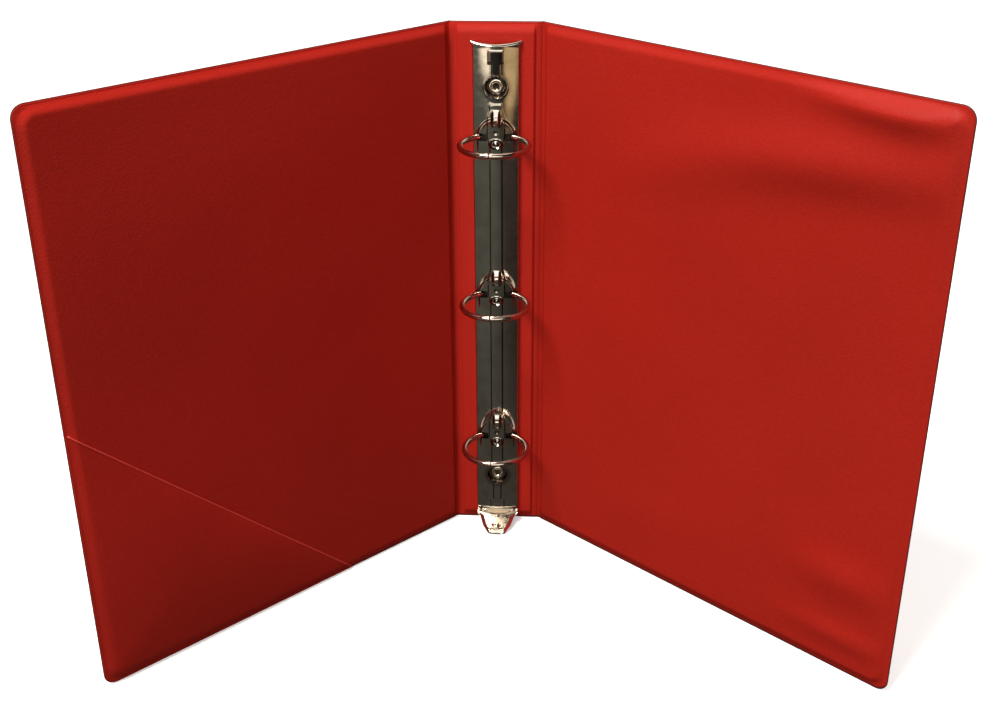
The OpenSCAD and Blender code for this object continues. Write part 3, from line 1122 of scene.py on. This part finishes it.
def board_finish():
    """Grey chipboard: fibres and flecks."""
    finish = Finish("chipboard", Roughness=0.92, Specular_IOR_Level=0.2)
    fibre = finish.noise(300, 5, 0.7, (1, 1, 0.25))
    fleck = finish.spread(finish.noise(900, 2), 0.62, 0.7)
    colour = finish.mixed(fibre, (0.19, 0.16, 0.12), (0.36, 0.31, 0.25))
    colour = finish.mixed(fleck, colour, (0.11, 0.09, 0.07))
    return finish.wear(Base_Color=colour, Normal=finish.bump(fibre, 0.0001, 0.6))


def nickel_finish(name, colour, tarnish, gloss, ripple):
    """Plated steel: nearly a mirror, with faint ripples and stains, and painted shade where the piece
    marks it.
    """
    finish = Finish(name, Metallic=1.0, Specular_IOR_Level=0.5)
    stain = finish.spread(finish.noise(130, 5, 0.65), 0.42, 0.72)
    rough = finish.spread(finish.noise(420, 4, 0.7), 0.35, 0.75, gloss, gloss + 0.08)
    base = finish.mixed(stain, colour, tarnish)
    # Painted shade: near black where the mark stands in for dark reflections and shade.
    base = finish.mixed(finish.marked("painted_shade"), base, (0.11, 0.085, 0.07))
    normal = finish.bump(finish.noise(60, 1), ripple, 0.5)
    return finish.wear(Base_Color=base, Roughness=rough, Normal=normal)


# Name: colour, tarnish, roughness and depth of the ripples in metres.
METALS = {
    "plate_nickel": ((0.66, 0.62, 0.55), (0.48, 0.43, 0.36), 0.06, 0.0001),
    "bright_nickel": ((0.86, 0.78, 0.66), (0.76, 0.62, 0.5), 0.16, 0.00002),
    "wire_nickel": ((0.58, 0.49, 0.43), (0.38, 0.27, 0.23), 0.11, 0.00002),
    # The blades are near black: dark spring steel, and also painted shade for the inside of the plate's
    # ring slots.
    "blade_steel": ((0.08, 0.07, 0.06), (0.04, 0.035, 0.03), 0.4, 0.00002),
}


def give_materials(pieces):
    """Gives each CAD node and each piece its finish."""
    metals = {name: nickel_finish(name, *look) for name, look in METALS.items()}
    finishes = {
        "vinyl": vinyl_finish("red_vinyl"),
        "board": board_finish(),
        "plate_steel": metals["plate_nickel"],
        "bright_nickel": metals["bright_nickel"],
    }
    # A lighter copy of the red vinyl: a painted highlight on the pocket's lip, where light catches its
    # edge.
    lip_highlight_vinyl = vinyl_finish("lip_highlight_vinyl", 1.5, 0.03)
    for part in frame["record"]["subparts"]:
        cad = frame["nodes"][part["node"]]
        cad.data.materials.clear()
        # The blades take the near-black steel, which also stands in for the shade inside the ring slots.
        blade = part["node"].endswith("blade")
        finish = metals["blade_steel"] if blade else finishes[part["material_slot"]]
        cad.data.materials.append(finish)
    for piece in pieces:
        finish = finishes[piece["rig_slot"]]
        if piece.name == "pocket_lip":
            finish = lip_highlight_vinyl
        elif "ring" in piece.name:
            finish = metals["wire_nickel"]
        piece.data.materials.clear()
        piece.data.materials.append(finish)


# -------------------- stage

# Name, place, aim, size in metres, watts, colour, and whether only reflections show it.
LIGHTS = [
    ("key", (-0.48, -0.70, 1.5), (0, -0.06, 0.12), (0.5, 0.5), 33, (1.0, 0.95, 0.87)),
    ("fill", (0.1, -1.6, 0.9), (0, -0.06, 0.12), (1.4, 1.0), 7, (1.0, 0.97, 0.93)),
    ("canopy", (-0.05, 0.42, 1.5), (0, -0.02, 0), (1.1, 1.0), 5.5, (1.0, 0.92, 0.78), True),
    ("back left", (-1.3, 1.2, 1.0), (0, 0, 0.12), (0.9, 0.9), 16, (1.0, 0.96, 0.92)),
    ("back right", (1.2, 1.3, 1.0), (0, 0, 0.12), (0.9, 0.9), 20, (1.0, 0.96, 0.92)),
    ("card", (-0.2, -2.2, 0.42), (0, 0, 0.1), (1.8, 0.7), 5, (1.0, 0.92, 0.8), True),
]
FLOOR_HALF = 6000
FLOOR_Z = -0.2
# What the sky looks like to diffuse rays, to reflections and to the camera.
SKY = ((0.16, 0.16, 0.16), (0.02, 0.02, 0.019), (0.93, 0.93, 0.93))


def area_light(name, place, aim, across, watts, colour, gloss_only=False):
    data = bpy.data.lights.new(name, "AREA")
    data.shape = "RECTANGLE"
    data.size, data.size_y = across
    data.energy = watts
    data.color = colour
    light = bpy.data.objects.new(name, data)
    light.location = place
    light.rotation_euler = (Vector(aim) - Vector(place)).to_track_quat("-Z", "Y").to_euler()
    light.visible_diffuse = not gloss_only
    bpy.context.scene.collection.objects.link(light)


def by_ray(tree, ray, others, seen):
    """The first colour, but the second one for this kind of ray."""
    rays = tree.nodes.new("ShaderNodeLightPath")
    return mixed_colour(tree, rays.outputs[ray], others, seen)


def floor_finish():
    """Pale paper to the camera, but in reflections a dim floor with two bright patches."""
    paint = Finish("pale_floor", Roughness=0.9, Specular_IOR_Level=0.1)
    place = paint.add("ShaderNodeNewGeometry").outputs["Position"]
    parts = paint.add("ShaderNodeSeparateXYZ")
    paint.join(place, parts.inputs[0])
    x, y = parts.outputs["X"], parts.outputs["Y"]
    dim = paint.mixed(paint.spread(x, -0.05, 0.12), (0.052, 0.056, 0.05), (0.022, 0.017, 0.015))
    left = paint.times(paint.spread(x, -0.27, -0.2, 1, 0), paint.spread(y, -0.8, -0.72, 1, 0))
    right = paint.times(paint.spread(x, 0.16, 0.26), paint.spread(y, -0.64, -0.56, 1, 0))
    right = paint.times(right, paint.spread(paint.noise(3.2, 2), 0.4, 0.5, 0.35, 1))
    room = paint.mixed(right, paint.mixed(left, dim, (1.0, 0.9, 0.78)), (0.5, 0.36, 0.2))
    # To the camera the floor glows, more so far off, where the lights don't reach.
    distance = paint.add("ShaderNodeVectorMath")
    distance.operation = "LENGTH"
    paint.join(place, distance.inputs[0])
    glow = paint.spread(distance.outputs["Value"], 0.9, 2.8, 0.42, 0.8)
    seen = paint.add("ShaderNodeLightPath").outputs["Is Camera Ray"]
    paint.join(paint.times(glow, seen), paint.bsdf.inputs["Emission Strength"])
    paint.bsdf.inputs["Emission Color"].default_value = (1, 1, 1, 1)
    colour = by_ray(paint.tree, "Is Camera Ray", (0.13, 0.125, 0.12), (0.82, 0.82, 0.81))
    return paint.wear(Base_Color=by_ray(paint.tree, "Is Glossy Ray", colour, room))


def make_stage():
    """The floor, the sky and the lights."""
    turns = ((-1, -1), (1, -1), (1, 1), (-1, 1))
    corners = [(FLOOR_HALF * x, FLOOR_HALF * y, FLOOR_Z) for x, y in turns]
    floor = link("floor", mesh_from("floor", corners, [(0, 1, 2, 3)]), smooth=False)
    floor.data.materials.append(floor_finish())
    world = bpy.data.worlds.new("studio")
    world.use_nodes = True
    tree = world.node_tree
    sky = SKY[0]
    for ray, seen in (("Is Glossy Ray", SKY[1]), ("Is Camera Ray", SKY[2])):
        sky = by_ray(tree, ray, sky, seen)
    tree.links.new(sky, tree.nodes["Background"].inputs["Color"])
    bpy.context.scene.world = world
    for light in LIGHTS:
        area_light(*light)
    bpy.context.scene.view_settings.view_transform = "Standard"


# -------------------- the row

make_camera()
made = [
    cover_skin(FRONT, 1, 2.5), cover_skin(FRONT, -1, 4.0),
    cover_skin(BACK, 1, 1.6), cover_skin(BACK, -1, 4.0),
    spine_skin(1), spine_skin(-1),
    *corner_pocket(FRONT),
    *cover_plate(),
    *booster_lever(),
]
for ring_level, ring_z in zip(("lower", "middle", "upper"), RING_ZS):
    made += [ring_half(ring_level, "left", ring_z), ring_half(ring_level, "right", ring_z)]
for rivet_level, rivet_z in zip(("lower", "upper"), RIVET_ZS):
    made.append(rivet(rivet_level, rivet_z))
give_materials(made)
make_stage()
